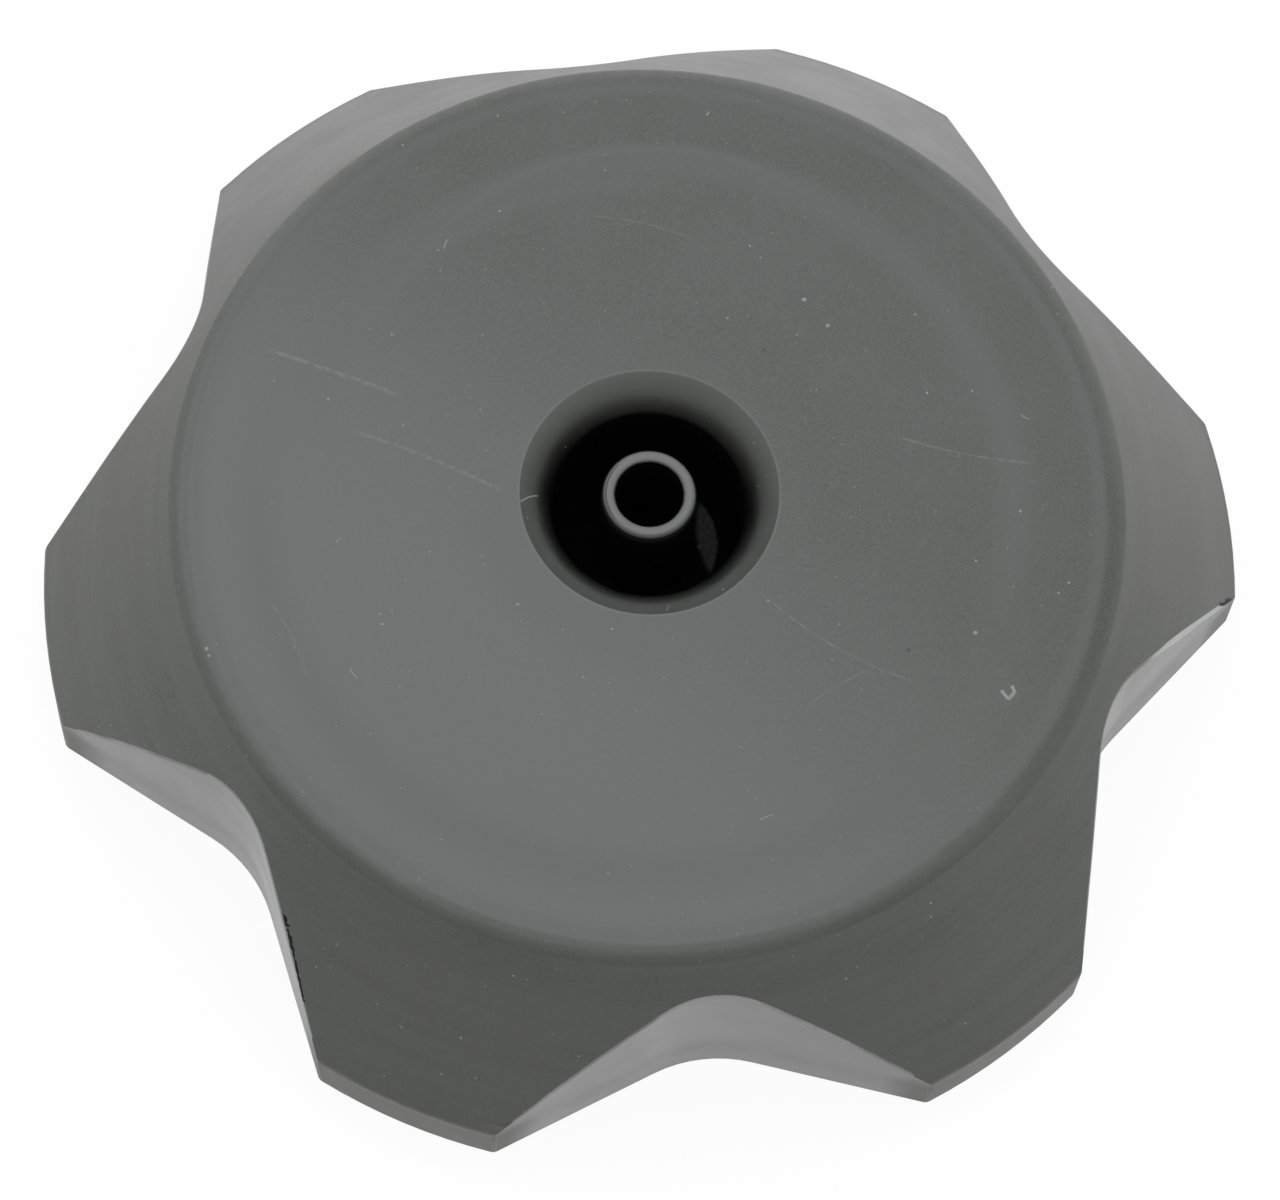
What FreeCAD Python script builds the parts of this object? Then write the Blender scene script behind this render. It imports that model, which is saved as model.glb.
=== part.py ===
import FreeCAD, Part
import math
import os

# Screw-on fuel filler cap with a six-lobed hand grip, a vent nipple and a roll-over check ball.
# Millimetres. The origin is on the cap's axis, in the plane of the lobes' lower edges, with +Z up
# and the middle of one lobe on +X.

# Outside of the grip
LOBES = 6
TIP_R = 44.0  # axis to the upright faces at the ends of the lobes
TIP_HALF_ANGLE = 9.0  # half of the arc that each upright face covers
TIP_H = 5.2  # height of the upright faces
SCALLOP_DEPTH = 8.05  # how far a scallop's bottom lies inside the lobes' ends
SCALLOP_R = 10.4  # rounding at a scallop's bottom
DISC_R = 33.7  # edge of the crowned top
DISC_EDGE_Z = 20.25  # height of that edge, where the conical skirt starts
CROWN_RISE = 2.16  # middle of the top above its edge
DISC_EDGE_ROUND = 2.3
TIP_EDGE_ROUND = 1.0
CORNER_ROUND = 0.7  # upright corners beside the lobes' end faces

# Shell
WALL = 2.5  # wall of the lobed skirt
TOP_WALL = 2.35  # top plate, at its edge
RIB_WALL = 1.8  # ribs between the socket and the scallops
RIB_SETBACK = 1.5  # ribs end above the lower edge

# Threaded socket for the tank's neck
THREAD_ROOT_R = 26.0
THREAD_DEPTH = 1.3
THREAD_PITCH = 4.5
THREAD_BASE = 2.3  # width of the ridge on the wall
THREAD_CREST = 1.1  # width of the ridge's flat
THREAD_START = 0.7  # middle of the ridge's lower end above the plain mouth
THREAD_TO_GASKET = 2.3  # free height over the last ridge, for the neck's lip
SOCKET_WALL = 3.0
SOCKET_SETBACK = 0.8  # the socket's mouth lies above the lobes' lower edges
GUIDE_R = 26.7  # plain mouth that leads the neck in
GUIDE_LENGTH = 2.4

# Gasket under the top plate
GASKET_THICK = 2.4
GASKET_WIDTH = 5.8
GASKET_PLAY = 0.3
GASKET_EDGE_ROUND = 0.4
KEEPER_WALL = 1.4  # low ring that keeps the gasket's inner edge in place
KEEPER_H = 1.3

# Well and vent nipple
WELL_MOUTH_R = 9.26
WELL_R = 6.95
WELL_DEPTH = 12.0
WELL_LEAD_SLOPE = 17.0  # degrees, of the flat part of the lead-in
WELL_LEAD_ROUND = 1.2
WELL_FLOOR_ROUND = 1.5
NIPPLE_R = 3.4
NIPPLE_BORE_R = 2.43
NIPPLE_RIM_ROUND = 0.42
NIPPLE_DROP = 0.35  # nipple's rim below the edge of the well

# Vent chamber under the well, with the check ball in its tube
WELL_FLOOR_WALL = 2.3
BOSS_WALL = 2.45
CHAMBER_WALL = 1.8
CHAMBER_H = 2.3
BALL_R = 2.0
BALL_PLAY = 0.25
BALL_TRAVEL = 2.0
BALL_SEAT_GAP = 0.05  # left between the ball and its seat at each end of the travel
BALL_TUBE_WALL = 1.0
TUBE_FOOT_GAP = 0.3
TUBE_SLOT_WIDTH = 1.3
TUBE_SLOT_H = 1.3
SEAT_BORE_R = 1.2
SEAT_BORE_LENGTH = 1.5
SEAT_ANGLE = 45.0

# Baffle plate that closes the chamber
PLATE_THICK = 2.0
PLATE_RIM_WALL = 1.0
PLATE_RIM_H = 1.5
PLATE_PLAY = 0.3
PLATE_EDGE_ROUND = 0.5
DISH_R = 1.6
DISH_DEPTH = 0.5
VENT_HOLE_R = 0.9
VENT_HOLES = 3
VENT_CIRCLE_R = 5.6

# Plate screws
SCREWS = 3
SCREW_CIRCLE_R = 5.6
SCREW_CORE_R = 0.85
SCREW_HEAD_R = 2.0
SCREW_LENGTH = 4.6
SCREW_PLAY = 0.05
PILLAR_R = 1.9
PILOT_PAST_SCREW = 0.5
SCREW_HOLE_PLAY = 0.3
CROSS_WIDTH = 0.6
CROSS_SPAN = 2.2
CROSS_DEPTH = 0.8

# Heights and radii that follow
SLOPE = math.atan2(DISC_EDGE_Z - TIP_H, TIP_R - DISC_R)
SECTOR = 360.0 / LOBES
CROWN_R = (DISC_R ** 2 + CROWN_RISE ** 2) / (2 * CROWN_RISE)
APEX_Z = DISC_EDGE_Z + CROWN_RISE
CEILING_Z = DISC_EDGE_Z - TOP_WALL
SOCKET_R = THREAD_ROOT_R + SOCKET_WALL
GUIDE_TOP_Z = SOCKET_SETBACK + GUIDE_LENGTH
MOUTH_TOP_Z = GUIDE_TOP_Z + GUIDE_R - THREAD_ROOT_R
GASKET_LOW_Z = CEILING_Z - GASKET_THICK
GASKET_OUT_R = THREAD_ROOT_R - GASKET_PLAY
GASKET_IN_R = GASKET_OUT_R - GASKET_WIDTH
WELL_EDGE_Z = APEX_Z - CROWN_R + math.sqrt(CROWN_R ** 2 - WELL_MOUTH_R ** 2)
WELL_FLOOR_Z = WELL_EDGE_Z - WELL_DEPTH
BOSS_R = WELL_R + BOSS_WALL
CHAMBER_TOP_Z = WELL_FLOOR_Z - WELL_FLOOR_WALL
PLATE_TOP_Z = CHAMBER_TOP_Z - CHAMBER_H
PLATE_LOW_Z = PLATE_TOP_Z - PLATE_THICK
CHAMBER_R = BOSS_R - CHAMBER_WALL
BALL_TUBE_R = BALL_R + BALL_PLAY
DISH_SLOPE = math.atan(DISH_DEPTH / DISH_R)
BALL_Z = PLATE_TOP_Z - DISH_DEPTH + (BALL_R + BALL_SEAT_GAP) / math.cos(DISH_SLOPE)
SCREW_HEAD_H = SCREW_HEAD_R - SCREW_CORE_R
BELOW = 1.0  # how far a cutting shape runs past the face that it opens
AXIS_FOOT = FreeCAD.Vector()
UP = FreeCAD.Vector(0, 0, 1)


def point(r, z):
    return FreeCAD.Vector(r, 0, z)


def towards(centre, target, distance):
    """The point at this distance from the centre, on the way to the target."""
    way = target - centre
    return centre + way * (distance / way.Length)


def arc(start, centre, end):
    """The short arc between two points of a circle."""
    middle = towards(centre, (start + end) / 2, (start - centre).Length)
    return Part.Arc(start, middle, end).toShape()


def turned(edges):
    """A solid turned about the axis from the edges of a closed profile in the XZ plane."""
    face = Part.Face(Part.Wire(edges))
    return face.revolve(AXIS_FOOT, UP, 360)


def straight(points):
    """The closed run of straight edges through the points."""
    following = points[1:] + points[:1]
    return [Part.makeLine(a, b) for a, b in zip(points, following)]


def cylinder(r, low, high, x=0.0, y=0.0):
    return Part.makeCylinder(r, high - low, FreeCAD.Vector(x, y, low))


def ring(outer, inner, low, high):
    return cylinder(outer, low, high).cut(cylinder(inner, low - BELOW, high + BELOW))


def around(shape, count, first=0.0):
    """Copies of a shape, evenly spaced about the axis."""
    copies = []
    for k in range(count):
        one = shape.copy()
        one.rotate(AXIS_FOOT, UP, first + 360.0 * k / count)
        copies.append(one)
    return copies


def circle_edges(solid, radius, height):
    """The full circles of a turned solid with this radius and height."""
    found = []
    for edge in solid.Edges:
        curve = None if edge.Degenerated else edge.Curve
        if curve is not None and curve.TypeId == "Part::GeomCircle":
            if abs(curve.Radius - radius) < 1e-4 and abs(curve.Center.z - height) < 1e-4:
                found.append(edge)
    return found


def scallop():
    """A scallop's plan beside the lobe on +X: its centre, where the flank meets it, and the flank's way."""
    half = math.radians(SECTOR / 2)
    tip = math.radians(TIP_HALF_ANGLE)
    centre_r = TIP_R - SCALLOP_DEPTH + SCALLOP_R
    centre = FreeCAD.Vector(centre_r * math.cos(half), centre_r * math.sin(half), 0)
    corner = FreeCAD.Vector(TIP_R * math.cos(tip), TIP_R * math.sin(tip), 0)
    across = centre - corner
    lean = math.atan2(across.y, across.x) + math.asin(SCALLOP_R / across.Length)
    flank = FreeCAD.Vector(math.cos(lean), math.sin(lean), 0)
    touch = corner + flank * math.sqrt(across.Length ** 2 - SCALLOP_R ** 2)
    return centre, touch, flank


def mirrored(p):
    """The same point on the other side of the scallop's middle."""
    angle = math.radians(SECTOR) - math.atan2(p.y, p.x)
    return FreeCAD.Vector(math.cos(angle), math.sin(angle), 0) * p.Length


def closed_plan(run):
    """A wire around the whole cap from one sector's edges."""
    edges = []
    for copy in around(Part.Wire(run), LOBES):
        edges += copy.Edges
    return Part.Wire(edges)


def outer_plan():
    """The lobed outline, with rounded corners beside each lobe's end face."""
    centre, touch, flank = scallop()
    outward = FreeCAD.Vector(flank.y, -flank.x, 0)
    base = touch - outward * CORNER_ROUND
    along = base.dot(flank)
    reach = TIP_R - CORNER_ROUND
    inner = base - flank * (along + math.sqrt(along ** 2 - base.Length ** 2 + reach ** 2))
    on_flank = inner + outward * CORNER_ROUND
    on_tip = towards(AXIS_FOOT, inner, TIP_R)
    tip_middle = point(TIP_R, 0)
    return closed_plan([
        arc(tip_middle, AXIS_FOOT, on_tip),
        arc(on_tip, inner, on_flank),
        Part.makeLine(on_flank, touch),
        arc(touch, centre, mirrored(touch)),
        Part.makeLine(mirrored(touch), mirrored(on_flank)),
        arc(mirrored(on_flank), mirrored(inner), mirrored(on_tip)),
        arc(mirrored(on_tip), AXIS_FOOT, mirrored(tip_middle)),
    ])


def inner_plan():
    """The inside of the lobed wall: the flanks run on and meet past the lobes' ends."""
    centre, touch, flank = scallop()
    start = towards(centre, touch, SCALLOP_R + WALL)
    meeting = point(start.x - flank.x * start.y / flank.y, 0)
    return closed_plan([
        Part.makeLine(meeting, start),
        arc(start, centre, mirrored(start)),
        Part.makeLine(mirrored(start), mirrored(meeting)),
    ])


def prism(wire, low, high):
    wire.translate(FreeCAD.Vector(0, 0, low))
    return Part.Face(wire).extrude(FreeCAD.Vector(0, 0, high - low))


def skirt_point(inset, z):
    """The point of the skirt's slope at a height, moved in square to the slope."""
    level = TIP_R * math.sin(SLOPE) + TIP_H * math.cos(SLOPE) - inset
    return point((level - z * math.cos(SLOPE)) / math.sin(SLOPE), z)


def grip_envelope():
    """The crowned top, the conical skirt and the lobes' end faces, as one turned solid."""
    out = point(math.sin(SLOPE), math.cos(SLOPE))
    up_slope = point(-math.cos(SLOPE), math.sin(SLOPE))
    crown_centre = point(0, APEX_Z - CROWN_R)
    foot = skirt_point(DISC_EDGE_ROUND, 0)
    along = (foot - crown_centre).dot(up_slope)
    reach = CROWN_R - DISC_EDGE_ROUND
    climb = math.sqrt(along ** 2 - (foot - crown_centre).Length ** 2 + reach ** 2) - along
    edge_centre = foot + up_slope * climb
    on_skirt = edge_centre + out * DISC_EDGE_ROUND
    on_crown = towards(crown_centre, edge_centre, CROWN_R)
    tip_set = TIP_EDGE_ROUND * math.tan((math.pi / 2 - SLOPE) / 2)
    tip_low = point(TIP_R, TIP_H - tip_set)
    tip_high = point(TIP_R, TIP_H) + up_slope * tip_set
    top = point(0, APEX_Z)
    solid = turned([
        Part.makeLine(AXIS_FOOT, point(TIP_R, 0)),
        Part.makeLine(point(TIP_R, 0), tip_low),
        arc(tip_low, tip_low - point(TIP_EDGE_ROUND, 0), tip_high),
        Part.makeLine(tip_high, on_skirt),
        arc(on_skirt, edge_centre, on_crown),
        arc(on_crown, crown_centre, top),
        Part.makeLine(top, AXIS_FOOT),
    ])
    return seam_in_scallop(solid)


def seam_in_scallop(solid):
    """A turned solid's seam starts on +X, so it is turned on to the middle of a scallop."""
    solid.rotate(AXIS_FOOT, UP, SECTOR / 2)
    return solid


def grip_outside():
    return grip_envelope().common(prism(outer_plan(), 0, APEX_Z + BELOW))


def shell_cavity():
    """The space under the top plate and inside the lobed wall."""
    inner_r = TIP_R - WALL
    ceiling = skirt_point(WALL, CEILING_Z)
    shoulder = point(inner_r, CEILING_Z - (inner_r - ceiling.x) * math.tan(SLOPE))
    space = turned(straight([
        point(0, -BELOW),
        point(inner_r, -BELOW),
        shoulder,
        ceiling,
        point(0, CEILING_Z),
    ]))
    return seam_in_scallop(space).common(prism(inner_plan(), -BELOW, CEILING_Z + BELOW))


def socket_wall():
    """The upright ring that carries the thread, with its plain mouth."""
    wall = ring(SOCKET_R, THREAD_ROOT_R, SOCKET_SETBACK, CEILING_Z + TOP_WALL / 2)
    mouth = turned(straight([
        point(0, SOCKET_SETBACK - BELOW),
        point(GUIDE_R, SOCKET_SETBACK - BELOW),
        point(GUIDE_R, GUIDE_TOP_Z),
        point(THREAD_ROOT_R, MOUTH_TOP_Z),
        point(0, MOUTH_TOP_Z),
    ]))
    return wall.cut(mouth)


def ribs():
    """Upright ribs from the socket to the bottom of each scallop."""
    inner = THREAD_ROOT_R + SOCKET_WALL / 2
    outer = TIP_R - SCALLOP_DEPTH - WALL / 2
    height = CEILING_Z + TOP_WALL / 2 - RIB_SETBACK
    rib = Part.makeBox(outer - inner, RIB_WALL, height, FreeCAD.Vector(inner, -RIB_WALL / 2, RIB_SETBACK))
    return around(rib, LOBES, SECTOR / 2)


def thread_ridge():
    """The helical ridge inside the socket, with its foot sunk into the wall."""
    first_ridge_z = MOUTH_TOP_Z + THREAD_START
    last_ridge_z = GASKET_LOW_Z - THREAD_TO_GASKET - THREAD_BASE / 2
    sunk = SOCKET_WALL / 8
    foot = THREAD_ROOT_R + sunk
    crest = THREAD_ROOT_R - THREAD_DEPTH
    base = THREAD_BASE / 2 + sunk * (THREAD_BASE - THREAD_CREST) / 2 / THREAD_DEPTH
    flat = THREAD_CREST / 2
    profile = Part.Wire(straight([
        point(foot, first_ridge_z - base),
        point(crest, first_ridge_z - flat),
        point(crest, first_ridge_z + flat),
        point(foot, first_ridge_z + base),
    ]))
    helix = Part.makeHelix(THREAD_PITCH, last_ridge_z - first_ridge_z, THREAD_ROOT_R)
    helix.translate(FreeCAD.Vector(0, 0, first_ridge_z))
    return Part.Wire(helix.Edges).makePipeShell([profile], True, True)


def gasket_keeper():
    outer = GASKET_IN_R - GASKET_PLAY
    return ring(outer, outer - KEEPER_WALL, CEILING_Z - KEEPER_H, CEILING_Z + TOP_WALL / 2)


def well():
    """The round well in the top, with its dished lead-in and a rounded floor corner."""
    lead = math.radians(WELL_LEAD_SLOPE)
    above = APEX_Z + BELOW
    rim = point(WELL_MOUTH_R, WELL_EDGE_Z)
    flat_width = WELL_MOUTH_R - WELL_R - WELL_LEAD_ROUND * (1 - math.sin(lead))
    curve_start = rim - point(flat_width, flat_width * math.tan(lead))
    curve_centre = curve_start - point(-math.sin(lead), math.cos(lead)) * WELL_LEAD_ROUND
    curve_end = point(WELL_R, curve_centre.z)
    corner = point(WELL_R - WELL_FLOOR_ROUND, WELL_FLOOR_Z + WELL_FLOOR_ROUND)
    wall_end = point(WELL_R, corner.z)
    floor_edge = point(corner.x, WELL_FLOOR_Z)
    return turned([
        Part.makeLine(point(0, above), point(WELL_MOUTH_R, above)),
        Part.makeLine(point(WELL_MOUTH_R, above), rim),
        Part.makeLine(rim, curve_start),
        arc(curve_start, curve_centre, curve_end),
        Part.makeLine(curve_end, wall_end),
        arc(wall_end, corner, floor_edge),
        Part.makeLine(floor_edge, point(0, WELL_FLOOR_Z)),
        Part.makeLine(point(0, WELL_FLOOR_Z), point(0, above)),
    ])


def nipple():
    rim_z = WELL_EDGE_Z - NIPPLE_DROP
    tube = cylinder(NIPPLE_R, WELL_FLOOR_Z - WELL_FLOOR_WALL / 2, rim_z)
    return tube.makeFillet(NIPPLE_RIM_ROUND, circle_edges(tube, NIPPLE_R, rim_z))


def vent_passage():
    """From the tube of the check ball, past its seat and up through the nipple."""
    seat = math.radians(SEAT_ANGLE)
    closed_z = BALL_Z + BALL_TRAVEL
    touch_r = (BALL_R + BALL_SEAT_GAP) * math.sin(seat)
    touch_z = closed_z + (BALL_R + BALL_SEAT_GAP) * math.cos(seat)
    cone_low = touch_z - (BALL_TUBE_R - touch_r) / math.tan(seat)
    cone_high = touch_z + (touch_r - SEAT_BORE_R) / math.tan(seat)
    bore_z = cone_high + SEAT_BORE_LENGTH
    above = APEX_Z + BELOW
    return turned(straight([
        point(0, PLATE_TOP_Z - BELOW),
        point(BALL_TUBE_R, PLATE_TOP_Z - BELOW),
        point(BALL_TUBE_R, cone_low),
        point(SEAT_BORE_R, cone_high),
        point(SEAT_BORE_R, bore_z),
        point(NIPPLE_BORE_R, bore_z),
        point(NIPPLE_BORE_R, above),
        point(0, above),
    ]))


def vent_chamber():
    """The space between the well's floor and the baffle plate, less the ball's tube and the pillars."""
    space = cylinder(CHAMBER_R, PLATE_TOP_Z - BELOW, CHAMBER_TOP_Z)
    tube_r = BALL_TUBE_R + BALL_TUBE_WALL
    tube = cylinder(tube_r, PLATE_TOP_Z + TUBE_FOOT_GAP, CHAMBER_TOP_Z)
    slot = Part.makeBox(
        tube_r + BELOW, TUBE_SLOT_WIDTH, TUBE_SLOT_H,
        FreeCAD.Vector(0, -TUBE_SLOT_WIDTH / 2, PLATE_TOP_Z + TUBE_FOOT_GAP),
    )
    for cut in around(slot, VENT_HOLES, 180.0 / SCREWS):
        tube = tube.cut(cut)
    space = space.cut(tube)
    pillar = cylinder(PILLAR_R, PLATE_TOP_Z, CHAMBER_TOP_Z, SCREW_CIRCLE_R)
    for one in around(pillar, SCREWS):
        space = space.cut(one)
    return space


def pilot_holes():
    high = PLATE_LOW_Z + SCREW_LENGTH + PILOT_PAST_SCREW
    hole = cylinder(SCREW_CORE_R + SCREW_PLAY, PLATE_TOP_Z - BELOW, high, SCREW_CIRCLE_R)
    return around(hole, SCREWS)


def cap_body():
    space = shell_cavity().cut(socket_wall())
    for rib in ribs():
        space = space.cut(rib)
    space = space.cut(cylinder(BOSS_R, PLATE_TOP_Z, CEILING_Z + BELOW))
    space = space.cut(gasket_keeper())
    body = grip_outside().cut(space)
    body = body.cut(well()).fuse(nipple())
    body = body.cut(vent_chamber()).cut(vent_passage())
    for hole in pilot_holes():
        body = body.cut(hole)
    return body.fuse(thread_ridge()).removeSplitter()


def neck_gasket():
    solid = ring(GASKET_OUT_R, GASKET_IN_R, GASKET_LOW_Z, CEILING_Z)
    edges = circle_edges(solid, GASKET_OUT_R, GASKET_LOW_Z)
    edges += circle_edges(solid, GASKET_IN_R, GASKET_LOW_Z)
    return solid.makeFillet(GASKET_EDGE_ROUND, edges)


def baffle_plate():
    """The lid of the vent chamber, with a rim over the boss and a dish for the ball."""
    inner = BOSS_R + PLATE_PLAY
    outer = inner + PLATE_RIM_WALL
    plate = cylinder(outer, PLATE_LOW_Z, PLATE_TOP_Z + PLATE_RIM_H)
    plate = plate.cut(cylinder(inner, PLATE_TOP_Z, PLATE_TOP_Z + PLATE_RIM_H + BELOW))
    plate = plate.makeFillet(PLATE_EDGE_ROUND, circle_edges(plate, outer, PLATE_LOW_Z))
    dish = turned(straight([
        point(0, PLATE_TOP_Z - DISH_DEPTH),
        point(DISH_R, PLATE_TOP_Z),
        point(0, PLATE_TOP_Z),
    ]))
    plate = plate.cut(dish)
    vent = cylinder(VENT_HOLE_R, PLATE_LOW_Z - BELOW, PLATE_TOP_Z + BELOW, VENT_CIRCLE_R)
    for hole in around(vent, VENT_HOLES, 180.0 / SCREWS):
        plate = plate.cut(hole)
    through_r = SCREW_CORE_R + SCREW_HOLE_PLAY
    through = cylinder(through_r, PLATE_LOW_Z - BELOW, PLATE_TOP_Z + BELOW, SCREW_CIRCLE_R)
    mouth_r = SCREW_HEAD_R + SCREW_PLAY
    sink = Part.makeCone(mouth_r, through_r, mouth_r - through_r, point(SCREW_CIRCLE_R, PLATE_LOW_Z))
    for hole in around(through.fuse(sink), SCREWS):
        plate = plate.cut(hole)
    return plate


def check_ball():
    return Part.makeSphere(BALL_R, FreeCAD.Vector(0, 0, BALL_Z))


def plate_screws():
    """Countersunk self-tapping screws, each with a cross recess."""
    seat = point(SCREW_CIRCLE_R, PLATE_LOW_Z)
    head = Part.makeCone(SCREW_HEAD_R, SCREW_CORE_R, SCREW_HEAD_H, seat)
    core = cylinder(SCREW_CORE_R, PLATE_LOW_Z + SCREW_HEAD_H / 2, PLATE_LOW_Z + SCREW_LENGTH, SCREW_CIRCLE_R)
    screw = head.fuse(core)
    for across, along in ((CROSS_SPAN, CROSS_WIDTH), (CROSS_WIDTH, CROSS_SPAN)):
        corner = FreeCAD.Vector(SCREW_CIRCLE_R - across / 2, -along / 2, PLATE_LOW_Z - BELOW)
        screw = screw.cut(Part.makeBox(across, along, CROSS_DEPTH + BELOW, corner))
    return Part.Compound(around(screw.removeSplitter(), SCREWS))


def main():
    nodes = {
        "cap_body": cap_body(),
        "neck_gasket": neck_gasket(),
        "baffle_plate": baffle_plate(),
        "check_ball": check_ball(),
        "plate_screws": plate_screws(),
    }
    os.makedirs("parts", exist_ok=True)
    for name, shape in nodes.items():
        shape.exportStep("parts/" + name + ".step")
        print(name, "solids", len(shape.Solids), "valid", shape.isValid(), "mm3", round(shape.Volume, 1))


main()
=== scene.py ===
import math

import bmesh
import bpy
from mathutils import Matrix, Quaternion, Vector


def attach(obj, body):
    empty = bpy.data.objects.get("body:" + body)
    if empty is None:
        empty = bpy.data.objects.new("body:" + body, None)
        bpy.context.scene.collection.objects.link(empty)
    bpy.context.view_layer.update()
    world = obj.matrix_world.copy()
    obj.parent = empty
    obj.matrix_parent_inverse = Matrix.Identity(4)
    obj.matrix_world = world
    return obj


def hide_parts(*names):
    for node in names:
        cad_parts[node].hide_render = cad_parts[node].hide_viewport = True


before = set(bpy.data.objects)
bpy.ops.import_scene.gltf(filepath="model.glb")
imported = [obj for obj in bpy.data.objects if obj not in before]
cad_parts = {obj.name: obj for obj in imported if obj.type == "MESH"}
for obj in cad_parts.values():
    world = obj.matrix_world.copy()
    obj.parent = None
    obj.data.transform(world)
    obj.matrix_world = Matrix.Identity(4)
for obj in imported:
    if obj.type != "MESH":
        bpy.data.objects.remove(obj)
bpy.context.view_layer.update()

MM = 0.001

# Camera, found from the lobes' outline in the photograph
PHOTO_WIDTH = 1280
PHOTO_FOCAL_PX = 5673
SENSOR_MM = 36.0
CAMERA_BACK = 143.08 * MM
CAMERA_UP = 398.77 * MM
CAMERA_AIM = Vector((0.075, -0.217, 0.0)) * MM
CAMERA_ROLL = math.radians(5.605)
LOBE_TURN = math.radians(12.476)  # the lobe on +X points this far round in the photograph
PHOTO_TURN = Quaternion((0, 0, 1), -LOBE_TURN)  # so camera and light stand this far round
BACK_WAY = PHOTO_TURN @ Vector((0, 1, 0))  # level, and away from the camera

# Light
ROOM_LEVEL = 1.02  # the room's radiance at the sides and overhead
ROOM_TO_BACK = 0.58  # how much brighter it is straight behind the cap
ROOM_FRONT = 0.74  # and its lowest level, on the camera's side
ROOM_WARM = (1.0, 1.0, 0.975)
ROOM_COOL = (0.975, 0.985, 1.015)
SOFTBOX_LEVEL = 0.55  # radiance on top of the room's
SOFTBOX_R = 0.46
SOFTBOX_AWAY = 0.8
SOFTBOX_LEAN = math.radians(9)  # behind overhead
SOFTBOX_TINT = (0.95, 0.97, 1.0)
FLOOR_WHITENESS = 0.93  # the floor's share of plain white; the rest of it takes the shadow
FLOOR_WIDTH = 3  # metres

# Colours of the finishes
PLASTIC = (0.047, 0.051, 0.044)
PLASTIC_DEEP = (0.027, 0.030, 0.024)
PLASTIC_PALE = (0.060, 0.064, 0.059)
PLASTIC_IOR = 1.6
# The broken edges' colour: rubbed pale, and painted lighter as their highlight
EDGE_WEAR_AND_HIGHLIGHT = (0.190, 0.196, 0.192)
EDGE_RUBBED = (0.40, 0.41, 0.41)
# The grey of painted light: the top's lighter side, the walls' reflection, the lit edge, and
# highlights on the mouth and the nipple's rim
PAINTED_LIGHT_GREY = (0.095, 0.100, 0.097)
# The black of painted shade in the well, its mouth and the nipple's bore and wall; also the nipple's
# burr and split
WELL_BLACK = (0.0015, 0.0015, 0.0015)
LEAD_IN_PALE = (0.074, 0.078, 0.071)
LEAD_IN_GLOSS = 0.25  # half of a clean surface's
# Dust, specks and scratches, and the well floor's painted patch of light
DUST_AND_LIT_PATCH = (0.34, 0.35, 0.34)
SOOT = (0.002, 0.002, 0.002)
VARNISH = (0.060, 0.048, 0.032)
RUBBER = (0.016, 0.016, 0.016)
RUBBER_BLOOM = (0.070, 0.070, 0.068)
STEEL = (0.60, 0.60, 0.61)
STEEL_DULL = (0.42, 0.42, 0.42)
ZINC = (0.56, 0.57, 0.58)
ZINC_WARM = (0.50, 0.47, 0.38)

# Places on the cap, in millimetres
WELL_TOP_Z = 22.25
WELL_MOUTH_R = 9.26
WELL_R = 6.95
WELL_FLOOR_Z = 10.25
WELL_BLACK_Z = (9.5, 19.0)  # the heights between which the well takes its finish painted black as shade
MOUTH_TILT = math.radians(17)  # the slope with which the well's round mouth starts
MOUTH_RINGS = 10
PLAIN_MOUTH_DEPTH = 1.8  # how far down the solid's own mouth reaches; the round one replaces it
SHADED_MOUTH_DEPTH = 3.3  # how far down the mouth with painted light and shade reaches
LIT_PATCH_OUTER = (0.62, 0.45, 0)  # the painted patch of light on the well's floor lies inside this circle
LIT_PATCH_OUTER_R = 4.8
LIT_PATCH_INNER = (10.85, 0.5, 0)  # and outside this one
LIT_PATCH_INNER_R = 6.85
NIPPLE_TOP_Z = 21.9
NIPPLE_R = 3.4
NIPPLE_BORE_R = 2.43
RIDGE_R = 2.88  # the middle of the nipple's rim
SKIRT_TOP_Z = 20.25
SKIRT_TOP_R = 33.7
SKIRT_FALL = 1.461  # how fast the skirt falls outwards
SOCKET_R = 26.75  # the threaded socket, with its mouth
SOCKET_TOP_Z = 18.4
CRESCENT_CENTRE = (1.12, 6.4, 0)  # a pale arc on the top's back half, a flow mark shown as a painted reflection
CRESCENT_R = 20.7
LIGHTER_TOP_WAY = (-0.737, -0.676, 0)  # the side of the top painted slightly greyer, as painted light
SHADED_WAY = (-0.30, -0.954, 0)  # and the side of the skirt painted slightly darker, as shade
LIP_IN_R = 22.2  # where the filler neck's lip presses on the gasket
LIP_OUT_R = 24.7
PLATE_LOW_Z = 3.65
VENT_CIRCLE_R = 5.6

# The grip's mesh and its broken edges, in millimetres
MERGE_WITHIN = 0.002
FLAT_WITHIN = math.radians(0.05)  # faces that turn less than this become one
NEAR = 0.03  # how exactly an edge is found by its place
SHARP_FROM = math.radians(18)  # flatter edges aren't broken
SMOOTH_BELOW = math.radians(24)
EDGE_BREAK = 0.6  # the widest broken edge; each edge has its share of it
FOOT_SHARE = 0.5  # the lobes' lower edges
LOBE_SHARE = 0.3  # where a scallop's wall meets the skirt
RUBBED_SHARE = 0.6  # and at most this much more, in waves, where the lobe on +X is rubbed
MOUTH_SHARE = 0.12
BORE_SHARE = 0.4
RUBBED_FROM_X = 34.0
RUBBED_LENGTH = 8.5
RUBBED_WAVE = 1.9  # radians to a millimetre
RUBBED_Y = (-15.0, -6.0)
OUTSIDE, EDGES, WELL, LEAD_IN = range(4)  # the grip's finishes, in their order on it


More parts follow.
